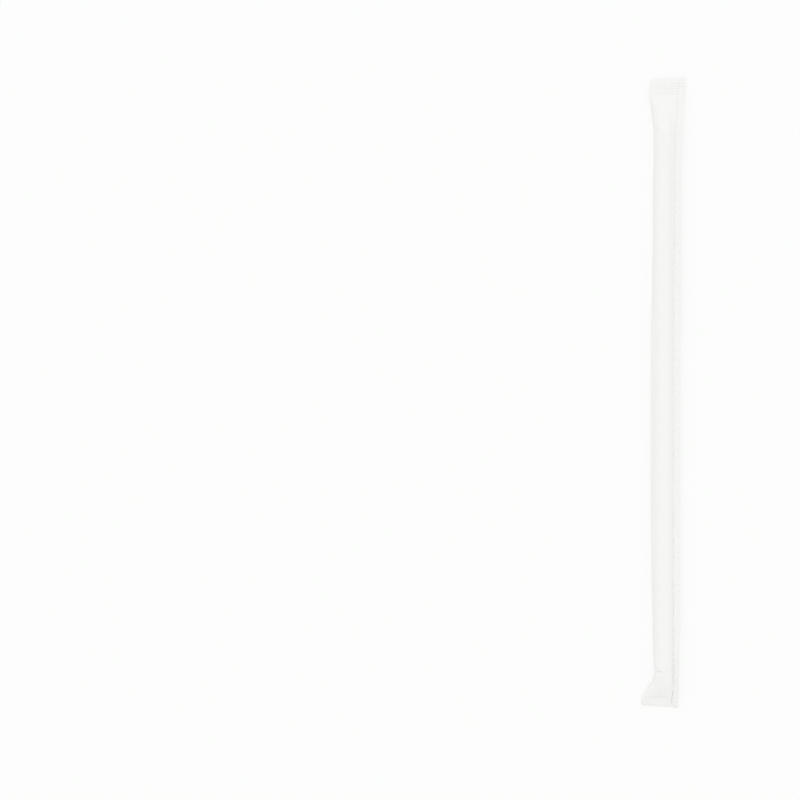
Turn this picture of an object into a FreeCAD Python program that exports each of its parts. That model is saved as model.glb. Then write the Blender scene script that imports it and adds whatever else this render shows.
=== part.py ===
import FreeCAD, Part
import Sketcher
import math
import os

# A flexible drinking straw in its sealed paper sleeve, lying on its belly.
# X runs across the sleeve, Y along it with the head end at +Y, Z up. Millimetres.
# Sections are drawn round the straw's axis, with Y = 0 at the middle of the straw.

SIZES = [
    # the plastic straw
    ("straw_length", 197.0, "end to end, 7 3/4 in"),
    ("straw_diameter", 6.0, "outside of the plain tube"),
    ("straw_wall", 0.2, "plastic wall"),
    ("mouthpiece_length", 38.0, "plain tube between the head end and the first fold"),
    ("fold_count", 14, "folds in the bending neck"),
    ("fold_pitch", 1.8, "from one fold to the next"),
    ("fold_depth", 0.6, "from a crest down to a root, on the outside"),
    ("steep_flank", 0.6, "length along the straw of the short side of a fold"),
    # the paper
    ("paper_thickness", 0.12, "one layer"),
    ("paper_slack", 0.12, "air between the straw and the paper over it"),
    ("belly_width", 4.4, "flat strip that the sleeve lies on"),
    ("side_height", 2.4, "height of the folded side and of the fin's root"),
    ("side_radius", 0.5, "outside radius of the folded side round the straw"),
    ("fin_width", 2.4, "sealed seam down the side, from its root to its edge"),
    ("fin_droop", 0.6, "how far the fin's edge hangs below its root"),
    ("end_room", 0.6, "straw end to where the paper starts to close"),
    ("seal_slit", 0.06, "opening left between the layers beside a seal"),
    # head end
    ("head_close", 12.5, "length over which the paper closes"),
    ("head_seal", 6.15, "length of the flat sealed strip"),
    ("head_lift", 1.2, "height of the flat end above the table"),
    ("head_slant", 3.3, "slant of the cut, degrees"),
    ("crimp_rows", 5, "ridges pressed across the flat strip"),
    ("crimp_spacing", 0.9, "from one ridge to the next"),
    ("crimp_height", 0.12, "from a valley up to a ridge"),
    # foot end
    ("foot_close", 9.3, "length over which the paper closes"),
    ("foot_seal", 3.65, "length of the flat sealed strip"),
    ("foot_lift", 1.0, "height of the flat end above the table"),
    ("foot_slant", -3.9, "slant of the cut, degrees"),
    # the straw's axis to the folded side of the sleeve
    ("side_head_edge", 4.5, "at the head's cut edge"),
    ("side_head_seal", 4.8, "where the head is sealed"),
    ("side_head_half", 4.3, "half-way along the closing length"),
    ("side_head_mouth", 3.4, "where the paper starts to close"),
    ("side_shoulder", 3.45, "over the mouthpiece"),
    ("side_upper", 3.85, "over the neck"),
    ("side_middle", 4.4, "at the straw's middle"),
    ("side_lower", 4.4, "half-way down the lower tube"),
    ("side_tail", 3.75, "near the foot end of the straw"),
    ("side_foot_mouth", 3.4, "where the paper starts to close"),
    ("side_foot_turn", 3.5, "where the paper turns outwards"),
    ("side_foot_half", 5.3, "past the middle of the closing length"),
    ("side_foot_seal", 7.7, "where the foot is sealed"),
    ("side_foot_edge", 8.0, "at the foot's cut edge"),
    # the straw's axis to the root of the fin
    ("root_head_edge", 6.0, "at the head's cut edge"),
    ("root_head_seal", 5.45, "where the head is sealed"),
    ("root_head_half", 5.0, "half-way along the closing length"),
    ("root_head_mouth", 4.6, "where the paper starts to close"),
    ("root_shoulder", 4.25, "over the mouthpiece"),
    ("root_upper", 4.1, "over the neck"),
    ("root_middle", 3.85, "at the straw's middle"),
    ("root_lower", 3.8, "half-way down the lower tube"),
    ("root_tail", 3.65, "near the foot end of the straw"),
    ("root_foot_mouth", 3.6, "where the paper starts to close"),
    ("root_foot_turn", 3.55, "where the paper turns outwards"),
    ("root_foot_half", 3.4, "past the middle of the closing length"),
    ("root_foot_seal", 3.2, "where the foot is sealed"),
    ("root_foot_edge", 3.1, "at the foot's cut edge"),
]

doc = FreeCAD.newDocument("wrapped_straw")
sheet = doc.addObject("Spreadsheet::Sheet", "Sizes")
for row, (alias, value, meaning) in enumerate(SIZES, start=1):
    sheet.set("A%d" % row, alias)
    sheet.set("B%d" % row, str(value))
    sheet.set("C%d" % row, meaning)
    sheet.setAlias("B%d" % row, alias)
doc.recompute()


def size(alias):
    return float(sheet.get(alias))


def origin_plane(body, role):
    return next(item for item in body.Origin.OriginFeatures if item.Role == role)


# The straw: a plain mouthpiece, a neck of equal folds and a plain lower tube.

OUTSIDE = "Sizes.straw_diameter / 2"
BORE = "(Sizes.straw_diameter / 2 - Sizes.straw_wall)"
HEAD = "Sizes.straw_length / 2"
FOOT = "-Sizes.straw_length / 2"
NECK_TOP = "(Sizes.straw_length / 2 - Sizes.mouthpiece_length)"
NECK_END = "(%s - Sizes.fold_count * Sizes.fold_pitch)" % NECK_TOP
ORIGIN_POINT = (-1, 1)      # a sketch's own origin, as a geometry and its vertex


def turned_ring(body, label, corners):
    """A ring turned about Y; each corner is a radius and a place along Y, as expressions."""
    sketch = body.newObject("Sketcher::SketchObject", label + "_profile")
    sketch.AttachmentSupport = [(origin_plane(body, "XY_Plane"), "")]
    sketch.MapMode = "FlatFace"
    places = [
        FreeCAD.Vector(float(sheet.evalExpression(x)), float(sheet.evalExpression(y)), 0)
        for x, y in corners
    ]
    last = len(corners) - 1
    ends = places[1:] + places[:1]
    sketch.addGeometry([Part.LineSegment(a, b) for a, b in zip(places, ends)], False)
    rules = []
    for number, place in enumerate(places):
        following = 0 if number == last else number + 1
        rules.append(Sketcher.Constraint("Coincident", number, 2, following, 1))
    for number, place in enumerate(places):
        rules.append(Sketcher.Constraint("DistanceX", *ORIGIN_POINT, number, 1, place.x))
        rules.append(Sketcher.Constraint("DistanceY", *ORIGIN_POINT, number, 1, place.y))
    sketch.addConstraint(rules)
    for number, (x, y) in enumerate(corners):
        first = len(corners) + 2 * number
        sketch.setExpression("Constraints[%d]" % first, x)
        sketch.setExpression("Constraints[%d]" % (first + 1), y)
    ring = body.newObject("PartDesign::Revolution", label)
    ring.Profile = sketch
    ring.ReferenceAxis = (sketch, ["V_Axis"])
    ring.Angle = 360.0
    sketch.Visibility = False
    doc.recompute()
    return ring


def fold_corners():
    """One fold: down the short side to the root, then up the long side to the next crest."""
    steps = [("0", "0"), ("Sizes.steep_flank", "Sizes.fold_depth"), ("Sizes.fold_pitch", "0")]
    faces = [
        [("%s - %s" % (face, drop), "%s - %s" % (NECK_TOP, down)) for down, drop in steps]
        for face in (OUTSIDE, BORE)
    ]
    return faces[0] + faces[1][::-1]


straw = doc.addObject("PartDesign::Body", "straw")
turned_ring(straw, "mouthpiece", [
    (OUTSIDE, HEAD), (OUTSIDE, NECK_TOP), (BORE, NECK_TOP), (BORE, HEAD),
])
first_fold = turned_ring(straw, "first_fold", fold_corners())
neck = straw.newObject("PartDesign::LinearPattern", "neck_folds")
neck.Originals = [first_fold]
neck.Direction = (origin_plane(straw, "Y_Axis"), [""])
neck.Reversed = True
neck.setExpression("Occurrences", "Sizes.fold_count")
neck.setExpression("Length", "(Sizes.fold_count - 1) * Sizes.fold_pitch")
straw.Tip = neck
doc.recompute()
turned_ring(straw, "lower_tube", [
    (OUTSIDE, NECK_END), (OUTSIDE, FOOT), (BORE, FOOT), (BORE, NECK_END),
])
doc.recompute()

# The sleeve: one sheet round the straw, sealed along a fin and flat at both ends.
# Every section has the same edges: over the straw, under to the belly, and the fin.

LAYER = size("paper_thickness")
CROWN_RADIUS = size("straw_diameter") / 2 + size("paper_slack") + LAYER
AXIS_HEIGHT = CROWN_RADIUS
SIDE_HEIGHT = size("side_height")
CROWN_POINTS = 5
FOLD_POINTS = 4             # on the outside; the inside of the fold is one line


def outer_tangent(centre_a, radius_a, centre_b, radius_b, turn):
    """Touching points of the line along two circles; turn is +1 or -1 for its side."""
    across = centre_b[0] - centre_a[0]
    up = centre_b[1] - centre_a[1]
    angle = math.atan2(up, across)
    angle += turn * math.acos((radius_a - radius_b) / math.hypot(across, up))
    return [
        (x + radius * math.cos(angle), z + radius * math.sin(angle))
        for (x, z), radius in ((centre_a, radius_a), (centre_b, radius_b))
    ]


def arc_points(centre, radius, start, end, count):
    """Evenly spaced points from start to end, anticlockwise round a circle."""
    first = math.atan2(start[1] - centre[1], start[0] - centre[0])
    sweep = math.atan2(end[1] - centre[1], end[0] - centre[0]) - first
    step = sweep % (2 * math.pi) / (count - 1)
    angles = [first + step * number for number in range(count)]
    return [
        (centre[0] + radius * math.cos(angle), centre[1] + radius * math.sin(angle))
        for angle in angles
    ]


def sleeve_curves(side, root, openness, inset):
    """Lines and arcs round the open sleeve from the fin's top, inset into the paper."""
    rise = LAYER - inset
    middle = (1 - openness) * (root - side) / 2
    crown = (middle, AXIS_HEIGHT)
    crown_radius = CROWN_RADIUS - inset
    pinched = LAYER + size("seal_slit") / 2
    side_radius = pinched + openness * (size("side_radius") - pinched)
    fold = (side_radius - side, SIDE_HEIGHT)
    fold_radius = side_radius - inset
    fold_points = 2 if inset else FOLD_POINTS
    half_belly = (size("belly_width") - inset) / 2
    fin_top = (root - inset, SIDE_HEIGHT + rise)
    fin_base = (root - inset, SIDE_HEIGHT - rise)
    belly_left = (middle - half_belly, inset)
    belly_right = (middle + half_belly, inset)
    right_touch, _ = outer_tangent(crown, crown_radius, fin_top, 0.0, 1)
    left_touch, fold_top = outer_tangent(crown, crown_radius, fold, fold_radius, -1)
    fold_base, _ = outer_tangent(fold, fold_radius, belly_left, 0.0, -1)
    return [
        [fin_top, right_touch],
        arc_points(crown, crown_radius, right_touch, left_touch, CROWN_POINTS),
        [left_touch, fold_top],
        arc_points(fold, fold_radius, fold_top, fold_base, fold_points),
        [fold_base, belly_left],
        [belly_left, belly_right],
        [belly_right, fin_base],
    ]


def pressed(point, lift, openness, rise):
    """A point of the open sleeve after its layers are pressed towards the seal."""
    x, z = point
    above = z - SIDE_HEIGHT
    if abs(above) > rise:
        edge = math.copysign(rise, above)
        above = edge + openness * (above - edge)
    return FreeCAD.Vector(x, 0, lift + above)


def edge_through(points):
    """A line, or a curve with its knots at the same places in every section."""
    if len(points) == 2:
        return Part.LineSegment(points[0], points[1]).toShape()
    curve = Part.BSplineCurve()
    knots = [float(number) for number in range(len(points))]
    curve.interpolate(Points=points, Parameters=knots)
    return curve.toShape()


def sleeve_section(station, inset):
    """The closed outline of the sleeve at one station: outside, or inside if inset."""
    rise = LAYER - inset
    narrowest = size("seal_slit") / (2 * CROWN_RADIUS) if inset else 0.0
    openness = max(station.openness, narrowest)
    curves = [
        [pressed(point, station.lift, openness, rise) for point in points]
        for points in sleeve_curves(station.side, station.root, station.openness, inset)
    ]
    if not inset:
        hang = FreeCAD.Vector(size("fin_width"), 0, -size("fin_droop"))
        base = curves[-1][-1]
        top = curves[0][0]
        curves += [[base, base + hang], [base + hang, top + hang], [top + hang, top]]
    return Part.Wire([edge_through(points) for points in curves])


class Station:
    """A section of the sleeve: its form, height and place; along and slant are expressions.

    Openness is 1 where the paper is round the straw and 0 where it is pressed flat.
    """

    def __init__(self, name, along, lift, openness, slant="0", form=None):
        self.name = name
        self.side = size("side_" + (form or name))
        self.root = size("root_" + (form or name))
        self.along = along
        self.lift = lift
        self.openness = openness
        self.slant = slant


DIRECTION = {"head": 1, "foot": -1}
SEAL_DROP = 0.8             # share of an end's drop that is done where its seal starts


def tube_station(name, share):
    """A section over the straw, at a share of the straw's length from its middle."""
    return Station(name, "%s * Sizes.straw_length" % share, SIDE_HEIGHT, openness=1)


def end_station(name, closed, openness, sealed=0, ridge=0, rise=0.0, form=None):
    """A section beyond the straw, at shares of the closing length and of the sealed strip."""
    end = name.split("_")[0]
    reach = " + ".join([
        "Sizes.straw_length / 2 + Sizes.end_room",
        "%s * Sizes.%s_close" % (closed, end),
        "%s * Sizes.%s_seal" % (sealed, end),
        "%s * Sizes.crimp_spacing" % ridge,
    ])
    drop = SEAL_DROP * closed + (1 - SEAL_DROP) * sealed
    lift = SIDE_HEIGHT - drop * (SIDE_HEIGHT - size(end + "_lift")) + rise
    slant = "Sizes.%s_slant" % end if sealed == 1 else "0"
    return Station(name, "%d * (%s)" % (DIRECTION[end], reach), lift, openness, slant, form)


def crimp_stations():
    """Ridges and valleys pressed across the head's flat strip, from the cut inwards."""
    half_height = size("crimp_height") / 2
    return [
        end_station("head_crimp_%d" % number, 1, openness=0, ridge=number / 2,
                    rise=half_height if number % 2 else -half_height, form="head_seal")
        for number in range(2 * int(size("crimp_rows")), 0, -1)
    ]


STATIONS = [
    end_station("head_edge", 1, openness=0, sealed=1),
    *crimp_stations(),
    end_station("head_seal", 1, openness=0),
    end_station("head_half", 0.5, openness=0.6),
    end_station("head_mouth", 0, openness=1),
    tube_station("shoulder", 0.4),
    tube_station("upper", 0.25),
    tube_station("middle", 0),
    tube_station("lower", -0.25),
    tube_station("tail", -0.4),
    end_station("foot_mouth", 0, openness=1),
    end_station("foot_turn", 0.25, openness=0.85),
    end_station("foot_half", 0.625, openness=0.45),
    end_station("foot_seal", 1, openness=0),
    end_station("foot_edge", 1, openness=0, sealed=1),
]


def lofted(label, stations, inset):
    """A solid through the sections of the sleeve's outside or inside."""
    sections = []
    for station in stations:
        section = doc.addObject("Part::Feature", label + "_" + station.name)
        section.Shape = sleeve_section(station, inset)
        section.setExpression("Placement.Base.y", station.along)
        section.Placement.Rotation = FreeCAD.Rotation(FreeCAD.Vector(0, 0, 1), 0)
        section.setExpression("Placement.Rotation.Angle", station.slant)
        section.Visibility = False
        sections.append(section)
    loft = doc.addObject("Part::Loft", label)
    loft.Sections = sections
    loft.Solid = True
    loft.Ruled = True
    return loft


names = [station.name for station in STATIONS]
between_seals = STATIONS[names.index("head_seal"):names.index("foot_seal") + 1]
outside = lofted("sleeve_outside", STATIONS, 0.0)
inside = lofted("sleeve_inside", between_seals, LAYER)
sleeve = doc.addObject("Part::Cut", "paper_sleeve")
sleeve.Base = outside
sleeve.Tool = inside
doc.recompute()

# Both pieces move together, so that the middle of the underside is the origin.
box = sleeve.Shape.optimalBoundingBox()
to_origin = FreeCAD.Vector(-box.Center.x, -box.Center.y, -box.ZMin)
sleeve.Placement.Base = to_origin
straw.Placement.Base = to_origin + FreeCAD.Vector(0, 0, AXIS_HEIGHT)
doc.recompute()

for item in doc.Objects:
    if "Invalid" in item.State or "Error" in item.State:
        raise RuntimeError("%s did not rebuild" % item.Label)

os.makedirs("parts", exist_ok=True)
for item in (sleeve, straw):
    if item.Shape.isNull() or not item.Shape.isValid():
        raise RuntimeError("%s has no valid shape" % item.Label)
    item.Shape.exportStep("parts/%s.step" % item.Label)
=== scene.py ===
import math
import bpy
import numpy as np
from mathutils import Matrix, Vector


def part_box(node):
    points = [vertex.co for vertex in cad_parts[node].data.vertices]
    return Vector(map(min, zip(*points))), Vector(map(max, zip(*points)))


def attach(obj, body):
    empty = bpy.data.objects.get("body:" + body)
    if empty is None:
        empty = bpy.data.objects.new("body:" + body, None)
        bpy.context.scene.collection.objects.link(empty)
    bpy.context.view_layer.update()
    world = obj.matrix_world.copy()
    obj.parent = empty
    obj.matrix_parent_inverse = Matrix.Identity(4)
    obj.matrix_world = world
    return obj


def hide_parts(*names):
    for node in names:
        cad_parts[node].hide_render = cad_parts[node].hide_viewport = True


# A drinking straw sealed in its paper sleeve, lying on a white table and seen from above.
# The sleeve is worked out in millimetres: X from the straw's axis towards the seam, Y along
# the sleeve towards its head end, Z up from the table.

MM = 0.001
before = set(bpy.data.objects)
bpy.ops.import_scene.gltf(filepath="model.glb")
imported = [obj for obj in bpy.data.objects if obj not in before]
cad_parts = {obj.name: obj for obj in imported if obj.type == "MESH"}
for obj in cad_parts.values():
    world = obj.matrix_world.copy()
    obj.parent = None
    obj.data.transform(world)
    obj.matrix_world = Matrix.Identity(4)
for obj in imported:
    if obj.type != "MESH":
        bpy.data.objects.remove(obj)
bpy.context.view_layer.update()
straw_low, straw_high = (np.array(corner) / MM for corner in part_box("straw"))
AXIS_X = (straw_low[0] + straw_high[0]) / 2
AXIS_Z = (straw_low[2] + straw_high[2]) / 2
STRAW_RADIUS = (straw_high[2] - straw_low[2]) / 2
HEAD_RIM = straw_high[1]
FOOT_RIM = straw_low[1]

LAYER = 0.1                 # one layer of paper
CROWN_RADIUS = AXIS_Z       # the paper over the straw, which just touches the table
SIDE_HEIGHT = 2.4           # folded side and fin, where the sleeve is round
SIDE_RADIUS = 0.45
HALF_BELLY = 2.2            # flat strip on the table
FIN_DROOP = 0.6

# Outlines as seen from above: place along the sleeve, distance from the straw's axis.
FOLD_SIDE = [
    (-115.4, 8.0), (-112.8, 8.0), (-111.3, 7.75), (-109.5, 6.75), (-107.0, 5.15),
    (-104.6, 3.65), (-103.0, 3.35), (-99.0, 3.4), (-92.0, 3.6), (-80.0, 3.85),
    (-65.0, 4.2), (-50.0, 4.4), (-10.0, 4.45), (20.0, 4.4), (32.0, 4.1), (45.0, 3.95),
    (55.0, 3.7), (78.0, 3.6), (86.0, 3.4), (95.0, 3.4), (98.5, 3.75), (102.0, 4.1),
    (105.5, 4.5), (108.5, 4.85), (111.0, 4.75), (113.0, 4.6), (115.4, 4.6),
]
FIN_ROOT = [
    (-115.4, 2.95), (-112.5, 3.15), (-110.5, 3.45), (-108.0, 3.7), (-90.0, 3.75), (-76.0, 3.78),
    (0.0, 3.85), (45.0, 3.95), (52.0, 4.2), (80.0, 4.35), (92.0, 4.5), (97.0, 4.8),
    (102.0, 5.1), (108.0, 5.45), (115.4, 5.9),
]
FIN_EDGE = [
    (-115.4, 5.5), (-111.0, 5.6), (-108.0, 5.9), (-92.0, 5.95), (-89.0, 6.2), (20.0, 6.3),
    (24.0, 6.6), (80.0, 6.7), (86.0, 6.95), (94.0, 7.1), (96.5, 7.35), (104.0, 7.5),
    (107.0, 7.8), (110.0, 8.0), (113.0, 8.15), (114.5, 8.4), (115.4, 8.4),
]
# How far the layers stand apart: 1 round the straw, 0 in the seals.
OPENNESS = [
    (-115.4, 0.0), (-111.8, 0.0), (-110.9, 0.13), (-109.2, 0.37), (-106.5, 0.64),
    (-104.0, 0.83), (-102.6, 0.93), (-101.3, 1.0), (96.2, 1.0), (98.2, 0.87),
    (102.5, 0.53), (106.5, 0.16), (108.7, 0.0), (115.4, 0.0),
]
# Height of the folded side and of the fin's root.
LIFT = [
    (-115.4, 0.75), (-111.5, 1.6), (-108.0, 2.2), (-105.0, 2.38), (-101.0, 2.4),
    (95.0, 2.4), (102.0, 2.0), (108.5, 1.45), (112.0, 1.1), (115.4, 0.9),
]
# Depth of the crease that the seam's rollers leave along the fin's root.
CREASE = [
    (-115.4, 0.4), (-114.2, 0.6), (-113.0, 0.6), (-111.8, 0.7), (-109.8, 0.75), (-107.5, 0.3),
    (-104.0, 0.28), (-96.0, 0.3), (-60.0, 0.28), (0.0, 0.22), (60.0, 0.28), (100.0, 0.27),
    (108.0, 0.3), (112.5, 0.3), (115.4, 0.2),
]

HEAD_EDGE = 114.8
FOOT_EDGE = -114.85
HEAD_SLANT = math.tan(math.radians(3.3))
FOOT_SLANT = math.tan(math.radians(-3.9))
KNURL_PITCH = 0.84
KNURL_DEPTH = 0.17
WAFFLE_ROW = 110.8          # place of one row of the head's dimples
WAFFLE_ACROSS = 0.97
WAFFLE_ALONG = 0.9
WAFFLE_DEPTH = 0.34
COLUMN_PITCH = 0.8          # fine columns pressed into the foot
COLUMN_DEPTH = 0.14
FOOT_STEP = 0.38            # from the paper down into the foot's seal
FOOT_CURL = 0.9             # of the cut edge at the foot
FIN_CURL = 0.9              # of the fin upwards, towards the foot
CREASE_WIDTH = 0.42         # to each side of the fin's root
FOLD_ROLL = 0.38            # how far the folded side bends down, where nothing closes
FOLD_ROLL_WIDTH = 0.8
FOLD_CREASE = 0.75          # along the folded side at the foot
FOLD_CREASE_PLACE = 0.32    # in from the fold
FOLD_CREASE_WIDTH = 0.34    # to each side of it
STRAW_CLEARANCE = 0.02      # least gap between the straw and the paper's points
ROW_REACH = 0.5             # more than the rows lie apart by the straw's rims

# Puckers by the straw's rims: x, y, reach across and along, and depth, below 0 where raised.
PUCKERS = [
    (-2.7, 96.2, 0.8, 0.34, 0.4),
    (-1.9, -100.3, 0.4, 0.9, -0.5),
    (-1.2, -102.2, 0.45, 0.6, 0.55),
    (-2.6, -102.3, 0.6, 0.8, 0.35),
    (1.4, -103.2, 0.5, 1.6, 0.15),
    (0.9, 97.6, 0.6, 1.5, 0.12),
]
# Long shallow creases in the slack: x, from y, to y.
SLACK_CREASES = [(1.8, -5.0, 17.0), (1.9, -94.0, -65.0)]
SLACK_CREASE_DEPTH = 0.035
SLACK_CREASE_WIDTH = 0.28
SLACK_CREASE_FADE = 6


def through(points, at):
    """A smooth curve through the points that never swings past them."""
    x, y = (np.array(column, float) for column in zip(*points))
    run = np.diff(x)
    slope = np.diff(y) / run
    same_way = slope[:-1] * slope[1:] > 0
    before = np.where(same_way, slope[:-1], 1.0)
    after = np.where(same_way, slope[1:], 1.0)
    weight_before = 2 * run[1:] + run[:-1]
    weight_after = run[1:] + 2 * run[:-1]
    mean = (weight_before + weight_after) / (weight_before / before + weight_after / after)
    tangent = np.zeros_like(x)
    tangent[1:-1] = np.where(same_way, mean, 0.0)
    at = np.clip(at, x[0], x[-1])
    left = np.clip(np.searchsorted(x, at) - 1, 0, len(run) - 1)
    t = (at - x[left]) / run[left]
    return (
        y[left] * (1 + 2 * t) * (1 - t) ** 2
        + y[left + 1] * t ** 2 * (3 - 2 * t)
        + run[left] * (tangent[left] * t * (1 - t) ** 2 - tangent[left + 1] * t ** 2 * (1 - t))
    )


def waves(seed, x, y, across, along=1.0, count=24):
    """Smooth random relief of about -1 to 1, with wavelengths near across and along."""
    random = np.random.default_rng(seed)
    total = np.zeros(np.broadcast(x, y).shape)
    for _ in range(count):
        turn_x = random.normal() * 2 * math.pi / across
        turn_y = random.normal() * 2 * math.pi / along
        total += np.cos(turn_x * x + turn_y * y + random.uniform(0, 2 * math.pi))
    return total / math.sqrt(count)


def bump(distance, width):
    return np.exp(-(distance / width) ** 2)


def fade(value, start, end):
    """0 at start and before, 1 at end and after, smooth between."""
    t = np.clip((value - start) / (end - start), 0, 1)
    return t * t * (3 - 2 * t)


def window(value, start, full, fall, end):
    """1 from full to fall, 0 before start and past end, smooth between."""
    return fade(value, start, full) * (1 - fade(value, fall, end))


class Profile:
    """The sleeve's outline, heights and openness at places along it."""

    def __init__(self, y):
        self.y = y
        self.side = through(FOLD_SIDE, y) + 0.05 * waves(21, y, 0.0, 4.0)
        self.root = through(FIN_ROOT, y) + 0.03 * waves(22, y, 0.0, 9.0)
        self.edge = through(FIN_EDGE, y) + 0.04 * waves(23, y, 0.0, 3.0)
        self.openness = through(OPENNESS, y)
        self.lift = through(LIFT, y)
        self.crease = through(CREASE, y) * (1 + 0.25 * waves(24, y, 0.0, 7.0))


def tangent_points(centre_a, radius_a, centre_b, radius_b, turn):
    """Touching points of the line along two circles; turn is +1 or -1 for its side."""
    across = centre_b[0] - centre_a[0]
    up = centre_b[1] - centre_a[1]
    angle = np.arctan2(up, across)
    angle = angle + turn * np.arccos((radius_a - radius_b) / np.hypot(across, up))
    return [
        (x + radius * np.cos(angle), z + radius * np.sin(angle))
        for (x, z), radius in ((centre_a, radius_a), (centre_b, radius_b))
    ]


def straight(start, end, count, at_start=1.0, at_end=1.0):
    """Columns of points from start up to, but not including, end; powers above 1 crowd them."""
    shares = [1 - (1 - (step / count) ** at_start) ** at_end for step in range(count)]
    return [tuple(a + (b - a) * share for a, b in zip(start, end)) for share in shares]


def round_arc(centre, radius, start, end, count):
    """Columns of points anticlockwise from start up to, but not including, end."""
    first = np.arctan2(start[1] - centre[1], start[0] - centre[0])
    sweep = np.arctan2(end[1] - centre[1], end[0] - centre[0]) - first
    sweep = sweep % (2 * math.pi)
    return [
        (centre[0] + radius * np.cos(first + sweep * step / count),
         centre[1] + radius * np.sin(first + sweep * step / count))
        for step in range(count)
    ]


def round_section(profile, layer, counts):
    """Columns x and z round the open sleeve from the fin's top to its underside."""
    inset = LAYER - layer
    zero = np.zeros_like(profile.y)
    middle = (1 - profile.openness) * (profile.root - profile.side) / 2
    crown = (middle, zero + AXIS_Z)
    crown_radius = zero + CROWN_RADIUS - inset
    pinched = 1.3 * LAYER
    side_radius = pinched + profile.openness * (SIDE_RADIUS - pinched)
    fold = (side_radius - profile.side, zero + SIDE_HEIGHT)
    fold_radius = side_radius - inset
    fin_top = (profile.root - inset, zero + SIDE_HEIGHT + layer)
    fin_base = (profile.root - inset, zero + SIDE_HEIGHT - layer)
    belly_left = (middle - HALF_BELLY, zero + inset)
    belly_right = (middle + HALF_BELLY, zero + inset)
    right_touch, _ = tangent_points(crown, crown_radius, fin_top, 0.0, 1)
    left_touch, fold_top = tangent_points(crown, crown_radius, fold, fold_radius, -1)
    fold_base, _ = tangent_points(fold, fold_radius, belly_left, 0.0, -1)
    right, over, left, round_fold, under_left, under, under_right = counts
    columns = straight(fin_top, right_touch, right, at_start=1.5)
    columns += round_arc(crown, crown_radius, right_touch, left_touch, over)
    columns += straight(left_touch, fold_top, left, at_end=1.8)
    columns += round_arc(fold, fold_radius, fold_top, fold_base, round_fold)
    columns += straight(fold_base, belly_left, under_left, at_start=1.8)
    columns += straight(belly_left, belly_right, under)
    columns += straight(belly_right, fin_base, under_right, at_end=1.5)
    columns.append(fin_base)
    shape = zero.shape
    x = np.stack([np.broadcast_to(column[0], shape) for column in columns], axis=1)
    z = np.stack([np.broadcast_to(column[1], shape) for column in columns], axis=1)
    return x, z


def pressed(z, profile, layer):
    """Heights after the open sleeve's layers are pressed towards the seals."""
    above = z - SIDE_HEIGHT
    edge = np.sign(above) * layer
    flattened = edge + profile.openness[:, None] * (above - edge)
    above = np.where(np.abs(above) > layer, flattened, above)
    return profile.lift[:, None] + above


def seam_crease(x, profile):
    """The sharp valley along the fin's root, through both layers."""
    away = np.abs(x - profile.root[:, None]) / CREASE_WIDTH
    return -profile.crease[:, None] * np.clip(1 - away, 0, 1) ** 1.3


def fold_roll(x, profile):
    """The folded side bends down over its last stretch, and is creased where the foot closes."""
    closing = 4 * profile.openness * (1 - profile.openness)
    foot = window(-profile.y, 103.0, 105.5, 110.8, 111.8)
    head = fade(profile.y, 105.0, 108.0)
    width = FOLD_ROLL_WIDTH * (1 + 0.5 * (1 - foot) * closing)
    depth = FOLD_ROLL * (1 + 2.4 * closing + foot - 0.8 * head)
    away = (x + profile.side[:, None]) / width[:, None]
    from_crease = np.abs(x + profile.side[:, None] - FOLD_CREASE_PLACE) / FOLD_CREASE_WIDTH
    bend = depth[:, None] * np.clip(1 - away, 0, 1) ** 1.4
    return -bend - FOLD_CREASE * foot[:, None] * np.clip(1 - from_crease, 0, 1)


def seal_relief(x, y):
    """What the end jaws press through both layers: dimples, columns, steps and a curled edge."""
    rows = 0.5 + 0.5 * np.cos(2 * math.pi * (y - WAFFLE_ROW) / WAFFLE_ALONG)
    dots = 0.5 + 0.5 * np.cos(2 * math.pi * (x + 0.06 * np.sin(7 * y)) / WAFFLE_ACROSS)
    stamp = 0.45 * rows ** 1.5 + 0.55 * (rows * dots) ** 1.8
    head = window(y, 108.2, 108.9, 112.8, 113.2)
    head = head * (0.75 + 0.25 * waves(41, x, y, 4.0, 3.0))
    height = -WAFFLE_DEPTH * stamp * head
    foot = window(-y, 112.0, 112.4, 113.8, 114.2)
    height -= COLUMN_DEPTH * foot * (0.5 + 0.5 * np.cos(2 * math.pi * x / COLUMN_PITCH))
    height -= FOOT_STEP * fade(-y - 0.02 * x, 111.1, 111.8)
    height -= FOOT_CURL * fade(-y, 114.0, 115.0)
    height -= 0.06 * bump(y - 108.1, 0.3)
    return height


def paper_relief(x, y, z, profile):
    """How far the loose paper stands off its smooth form: slack, wrinkles and puckers."""
    openness = profile.openness[:, None]
    loose = fade(np.abs(x), 1.8, 3.0)
    closing = 4 * openness * (1 - openness)
    height = 0.05 * loose * waves(11, x, y, 5.0, 24.0)
    height += 0.02 * waves(12, x, y, 2.2, 9.0)
    height += 0.08 * closing * waves(13, x, y, 2.0, 12.0)
    height += 0.035 * closing * waves(14, x, y, 1.2, 3.0)
    for centre_x, low, high in SLACK_CREASES:
        along = window(y, low, low + SLACK_CREASE_FADE, high - SLACK_CREASE_FADE, high)
        away = x - centre_x - 0.1 * waves(15, y, 0.0, 30.0)
        height -= SLACK_CREASE_DEPTH * along * bump(away, SLACK_CREASE_WIDTH)
    upper = z > profile.lift[:, None]
    for centre_x, centre_y, wide, long, depth in PUCKERS:
        height -= np.where(upper, depth, 0) * bump(x - centre_x, wide) * bump(y - centre_y, long)
    return height


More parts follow.
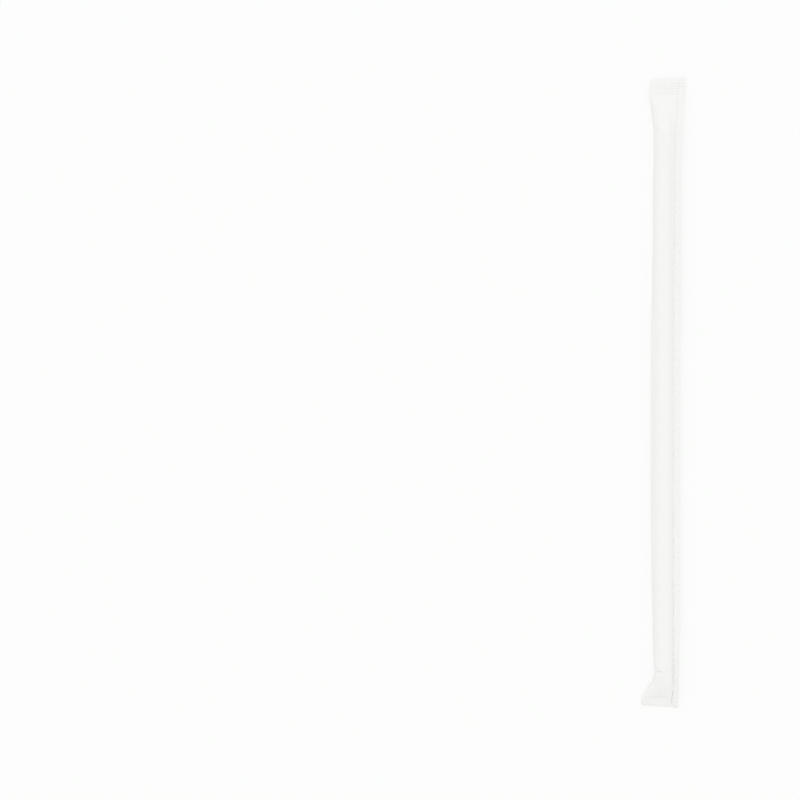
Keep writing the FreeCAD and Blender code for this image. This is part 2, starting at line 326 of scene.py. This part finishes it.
def clear_of_straw(x, y, z, layer):
    """Points that would lie in the straw, moved out to where the paper lies on it."""
    radius = np.maximum(np.hypot(x, z - AXIS_Z), 0.1)
    along_straw = (y > FOOT_RIM - ROW_REACH) & (y < HEAD_RIM + ROW_REACH)
    least = STRAW_RADIUS + STRAW_CLEARANCE + layer
    out = np.where(along_straw, np.maximum(least / radius, 1.0), 1.0)
    return x * out, AXIS_Z + (z - AXIS_Z) * out


def cut(x, y):
    """Places along the sleeve after its ends are cut, a little slanted and ragged."""
    head = HEAD_SLANT * (x - 1.9) + 0.09 * waves(3, x, 0.0, 2.6) + 0.05 * waves(4, x, 0.0, 0.7)
    foot = FOOT_SLANT * (x + 1.2) + 0.06 * waves(5, x, 0.0, 3.2) + 0.03 * waves(6, x, 0.0, 0.8)
    near_head = fade(y, HEAD_EDGE - 6.0, HEAD_EDGE)
    near_foot = fade(-y, -FOOT_EDGE - 4.0, -FOOT_EDGE)
    return y + head * near_head + foot * near_foot


def tube_points(y, layer, counts):
    """A grid of points round the sleeve without its fin: rows along, columns round."""
    profile = Profile(y)
    x, z = round_section(profile, layer, counts)
    z = pressed(z, profile, layer)
    along = np.repeat(y[:, None], x.shape[1], axis=1)
    points = np.stack([x, along, z], axis=2)
    normal = np.cross(np.gradient(points, axis=0), np.gradient(points, axis=1))
    normal /= np.linalg.norm(normal, axis=2, keepdims=True)
    height = paper_relief(x, along, z, profile)
    height *= fade(z, 0.05, 0.6) * fade(profile.root[:, None] - x, 0.0, 0.6)
    height *= fade(x + profile.side[:, None], 0.1, 0.9) * fade(AXIS_Z + CROWN_RADIUS - z, 0.0, 0.3)
    points += normal * height[:, :, None]
    x, along, z = np.moveaxis(points, 2, 0)
    drop = seal_relief(x, along) + fold_roll(x, profile)
    drop = drop + seam_crease(x, profile) * fade(z, 0.3, 0.8)
    z = z + np.maximum(drop, LAYER - profile.lift[:, None])
    x, z = clear_of_straw(x, along, z, layer)
    return np.stack([x, cut(x, along), np.clip(z, LAYER - layer, 2 * AXIS_Z)], axis=2)


FIN_SHARES = [0, 0.035, 0.075, 0.12, 0.18, 0.28, 0.4, 0.53, 0.66, 0.78, 0.87, 0.94, 1]
FIN_COLUMNS = (
    [(share, -1) for share in FIN_SHARES] + [(0.96, 0)] + [(share, 1) for share in FIN_SHARES[::-1]]
)


def fin_points(y):
    """A grid of points round the fin, from its root under it to its edge and back on top."""
    profile = Profile(y)
    shares, layers = (np.array(column, float)[None, :] for column in zip(*FIN_COLUMNS))
    x = profile.root[:, None] + shares * (profile.edge - profile.root)[:, None]
    along = np.repeat(y[:, None], len(FIN_COLUMNS), axis=1)
    droop = FIN_DROOP + 0.12 * waves(31, y, 0.0, 30.0) + 0.05 * waves(32, y, 0.0, 6.0)
    droop = droop * (0.4 + 0.6 * profile.openness) - FIN_CURL * fade(-y, 86.0, 104.0)
    z = profile.lift[:, None] - droop[:, None] * shares ** 1.3
    turn = (y[:, None] - FOOT_EDGE) / KNURL_PITCH + 0.05 * shares
    groove = (0.5 + 0.5 * np.cos(2 * math.pi * turn)) ** 1.5
    rolled = fade(shares, 0.08, 0.2) * (1 - 0.75 * fade(shares, 0.82, 0.94))
    strength = 0.85 + 0.2 * waves(33, x, along, 4.0, 6.0)
    strength *= 1 + 0.9 * fade(-along, 95.0, 108.0) - 0.35 * fade(along, 85.0, 95.0)
    z = z + KNURL_DEPTH * rolled * strength * (0.35 - groove)
    z = z + seal_relief(x, along) + seam_crease(x, profile)
    z = np.maximum(z, LAYER) + LAYER * layers
    return np.stack([x, cut(x, along), z], axis=2)


ROWS_PER_RIDGE = 6
OUTER_COUNTS = (10, 24, 12, 6, 7, 3, 6)
INNER_COUNTS = (8, 14, 10, 4, 7, 2, 6)
SEALS_FROM = 106.0          # every row past this, at both ends
RIM_ZONE = 2.5              # every second row from this far inside the straw's rims
INNER_FOOT = -108.6         # ends of the room inside the sleeve
INNER_HEAD = 105.8
INNER_RIM_ZONE = 3
CAP_INSET = 0.12            # middle of the cut edge, behind its two faces


def quads(index):
    """Faces of a grid of vertex numbers, seen from the side where its columns run left."""
    return [
        (a[k], b[k], b[k + 1], a[k + 1])
        for a, b in zip(index[:-1], index[1:]) for k in range(len(a) - 1)
    ]


def zipped(upper, lower, vertices):
    """Triangles between two rows that run towards smaller X and may end in one vertex."""
    faces = []
    i = j = 0
    while i < len(upper) - 1 or j < len(lower) - 1:
        step_upper = j == len(lower) - 1 or (
            i < len(upper) - 1 and vertices[upper[i + 1]][0] > vertices[lower[j + 1]][0])
        if step_upper:
            faces.append((upper[i], upper[i + 1], lower[j]))
            i += 1
        else:
            faces.append((upper[i], lower[j + 1], lower[j]))
            j += 1
    return [face for face in faces if len(set(face)) == 3]


def outer_skin():
    """The outside of the paper: tube and fin share the two lines of vertices at the root."""
    ridges = round((HEAD_EDGE - FOOT_EDGE) / KNURL_PITCH)
    y = np.linspace(FOOT_EDGE, HEAD_EDGE, ridges * ROWS_PER_RIDGE + 1)
    number = np.arange(len(y))
    sealed = (y < -SEALS_FROM) | (y > SEALS_FROM)
    closing = (y < FOOT_RIM + RIM_ZONE) | (y > HEAD_RIM - RIM_ZONE)
    tube_rows = np.flatnonzero(
        sealed | (closing & (number % 2 == 0)) | (number % ROWS_PER_RIDGE == 0))
    fin = fin_points(y)
    tube = tube_points(y[tube_rows], LAYER, OUTER_COUNTS)[:, 1:-1]
    fin_index = np.arange(fin.shape[0] * fin.shape[1]).reshape(fin.shape[:2])
    tube_index = fin_index.size + np.arange(tube.shape[0] * tube.shape[1]).reshape(tube.shape[:2])
    vertices = [tuple(point) for grid in (fin, tube) for point in grid.reshape(-1, 3)]
    faces = quads(fin_index) + quads(tube_index)
    for row, (start, end) in enumerate(zip(tube_rows[:-1], tube_rows[1:])):
        top = list(fin_index[start:end + 1, -1])
        base = list(fin_index[start:end + 1, 0])
        faces.append(top + [tube_index[row + 1, 0], tube_index[row, 0]])
        faces.append(base[::-1] + [tube_index[row, -1], tube_index[row + 1, -1]])
    half_fin = len(FIN_SHARES)
    fold_column = sum(OUTER_COUNTS[:3]) + OUTER_COUNTS[3] // 2 - 1
    for row, inwards in ((0, 1), (-1, -1)):
        upper = list(fin_index[row, half_fin + 1:]) + list(tube_index[row, :fold_column + 1])
        lower = list(fin_index[row, half_fin - 1::-1]) + list(tube_index[row, :fold_column - 1:-1])
        between = []
        for vertex in upper[1:-1]:
            x, along, z = vertices[vertex]
            between.append(len(vertices))
            vertices.append((x, along + CAP_INSET * inwards, max(z - LAYER, 0.0)))
        between = [fin_index[row, half_fin]] + between + [upper[-1]]
        cap = zipped(upper, between, vertices) + zipped(between, lower, vertices)
        faces += cap if inwards == 1 else [face[::-1] for face in cap]
    return vertices, faces


def inner_skin(first):
    """The inside of the paper, a closed skin that faces the straw."""
    y = np.concatenate([
        np.linspace(INNER_FOOT, FOOT_RIM + INNER_RIM_ZONE, 26)[:-1],
        np.linspace(FOOT_RIM + INNER_RIM_ZONE, HEAD_RIM - INNER_RIM_ZONE, 90)[:-1],
        np.linspace(HEAD_RIM - INNER_RIM_ZONE, INNER_HEAD, 28),
    ])
    points = tube_points(y, 0.001, INNER_COUNTS)
    index = first + np.arange(points.shape[0] * points.shape[1]).reshape(points.shape[:2])
    closed = np.concatenate([index, index[:, :1]], axis=1)
    faces = [face[::-1] for face in quads(closed)]
    faces += [tuple(index[0][::-1]), tuple(index[-1])]
    return [tuple(point) for point in points.reshape(-1, 3)], faces


def mesh_object(name, vertices, faces):
    mesh = bpy.data.meshes.new(name)
    mesh.from_pydata(
        [((x + AXIS_X) * MM, y * MM, z * MM) for x, y, z in vertices], [],
        [[int(vertex) for vertex in face] for face in faces])
    mesh.shade_smooth()
    mesh.set_sharp_from_angle(angle=math.radians(50))
    thing = bpy.data.objects.new(name, mesh)
    bpy.context.scene.collection.objects.link(thing)
    return thing


outer_vertices, outer_faces = outer_skin()
inner_vertices, inner_faces = inner_skin(len(outer_vertices))
sleeve = mesh_object("sleeve_sheet", outer_vertices + inner_vertices, outer_faces + inner_faces)
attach(sleeve, "root")
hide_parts("paper_sleeve")


def new_material(name, colour, roughness):
    material = bpy.data.materials.new(name)
    material.use_nodes = True
    shader = material.node_tree.nodes["Principled BSDF"]
    shader.inputs["Base Color"].default_value = (*colour, 1.0)
    shader.inputs["Roughness"].default_value = roughness
    return material, material.node_tree.nodes, material.node_tree.links, shader


def noise(nodes, links, size_mm, detail):
    """Noise fixed to the object, with features of about the size given."""
    place = nodes.new("ShaderNodeTexCoord")
    texture = nodes.new("ShaderNodeTexNoise")
    texture.inputs["Scale"].default_value = 1 / (size_mm * MM)
    texture.inputs["Detail"].default_value = detail
    links.new(place.outputs["Object"], texture.inputs["Vector"])
    return texture.outputs["Fac"]


def paper():
    material, nodes, links, shader = new_material("white_tissue_paper", (0.9, 0.9, 0.89), 0.85)
    shader.inputs["Specular IOR Level"].default_value = 0.25
    tint = nodes.new("ShaderNodeMix")
    tint.data_type = "RGBA"
    tint.inputs["A"].default_value = (0.881, 0.88, 0.871, 1.0)
    tint.inputs["B"].default_value = (0.918, 0.917, 0.907, 1.0)
    links.new(noise(nodes, links, 1.1, 5.0), tint.inputs["Factor"])
    links.new(tint.outputs["Result"], shader.inputs["Base Color"])
    fibres = nodes.new("ShaderNodeBump")
    fibres.inputs["Strength"].default_value = 0.35
    fibres.inputs["Distance"].default_value = 0.04 * MM
    links.new(noise(nodes, links, 0.28, 6.0), fibres.inputs["Height"])
    links.new(fibres.outputs["Normal"], shader.inputs["Normal"])
    return material


def plastic():
    return new_material("white_polypropylene", (0.88, 0.89, 0.89), 0.3)[0]


sleeve.data.materials.append(paper())
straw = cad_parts["straw"]
straw.data.materials.clear()
straw.data.materials.append(plastic())

WHITE = (0.973, 0.985, 0.973, 1.0)
SHADOW_EASE = 0.8           # how far the table's own white hides its shadow
STUDIO_STRENGTH = 0.918
KEY_ENERGY = 0.38
KEY_ANGLE = 14
KEY_TILT = (-31, 4, 0)
TABLE_HALF = 3.0
TABLE_HEIGHT = -0.05        # just under the sleeve, in millimetres


def seen_directly(nodes, links, share):
    """The share for rays that carry the background into the picture, 0 for light itself."""
    rays = nodes.new("ShaderNodeLightPath")
    last = rays.outputs["Is Camera Ray"]
    for kind in ("Is Glossy Ray", "Is Transmission Ray"):
        either = nodes.new("ShaderNodeMath")
        either.operation = "MAXIMUM"
        links.new(last, either.inputs[0])
        links.new(rays.outputs[kind], either.inputs[1])
        last = either.outputs["Value"]
    part = nodes.new("ShaderNodeMath")
    part.operation = "MULTIPLY"
    part.inputs[1].default_value = share
    links.new(last, part.inputs[0])
    return part.outputs["Value"]


def table():
    """A white table that keeps a soft part of the shadow on it."""
    mesh = bpy.data.meshes.new("table")
    corners = [(x * TABLE_HALF, y * TABLE_HALF) for x, y in ((-1, -1), (1, -1), (1, 1), (-1, 1))]
    mesh.from_pydata([(x, y, TABLE_HEIGHT * MM) for x, y in corners], [], [(0, 1, 2, 3)])
    thing = bpy.data.objects.new("table", mesh)
    bpy.context.scene.collection.objects.link(thing)
    material, nodes, links, shader = new_material("table_white", (0.96, 0.965, 0.96), 0.9)
    shader.inputs["Specular IOR Level"].default_value = 0.0
    glow = nodes.new("ShaderNodeEmission")
    glow.inputs["Color"].default_value = WHITE
    blend = nodes.new("ShaderNodeMixShader")
    links.new(seen_directly(nodes, links, SHADOW_EASE), blend.inputs["Fac"])
    links.new(shader.outputs["BSDF"], blend.inputs[1])
    links.new(glow.outputs["Emission"], blend.inputs[2])
    links.new(blend.outputs["Shader"], nodes["Material Output"].inputs["Surface"])
    mesh.materials.append(material)


def studio():
    """Even light from all round, and the table's white where the background is seen."""
    world = bpy.data.worlds.new("studio")
    world.use_nodes = True
    nodes, links = world.node_tree.nodes, world.node_tree.links
    light = nodes["Background"]
    light.inputs["Color"].default_value = (1.0, 1.0, 1.0, 1.0)
    light.inputs["Strength"].default_value = STUDIO_STRENGTH
    backdrop = nodes.new("ShaderNodeBackground")
    backdrop.inputs["Color"].default_value = WHITE
    backdrop.inputs["Strength"].default_value = 1.0
    blend = nodes.new("ShaderNodeMixShader")
    links.new(seen_directly(nodes, links, 1.0), blend.inputs["Fac"])
    links.new(light.outputs["Background"], blend.inputs[1])
    links.new(backdrop.outputs["Background"], blend.inputs[2])
    links.new(blend.outputs["Shader"], nodes["World Output"].inputs["Surface"])
    bpy.context.scene.world = world


table()
studio()

key = bpy.data.lights.new("key", "SUN")
key.energy = KEY_ENERGY
key.angle = math.radians(KEY_ANGLE)
key_lamp = bpy.data.objects.new("key", key)
key_lamp.rotation_euler = [math.radians(degrees) for degrees in KEY_TILT]
bpy.context.scene.collection.objects.link(key_lamp)

# The photograph's frame: 800 pixels of 0.3655 mm each, looking straight down.
FRAME_PIXELS = 800
PIXEL = 0.3655
STRAW_PIXEL_X = 663.0
MIDDLE_PIXEL_Y = 392.5
CAMERA_HEIGHT = 0.6
camera = bpy.data.cameras.new("camera")
camera.type = "ORTHO"
camera.ortho_scale = FRAME_PIXELS * PIXEL * MM
view = bpy.data.objects.new("camera", camera)
view.location = (
    (AXIS_X + (FRAME_PIXELS / 2 - STRAW_PIXEL_X) * PIXEL) * MM,
    (MIDDLE_PIXEL_Y - FRAME_PIXELS / 2) * PIXEL * MM,
    CAMERA_HEIGHT,
)
bpy.context.scene.collection.objects.link(view)
bpy.context.scene.camera = view
bpy.context.scene.view_settings.view_transform = "Standard"
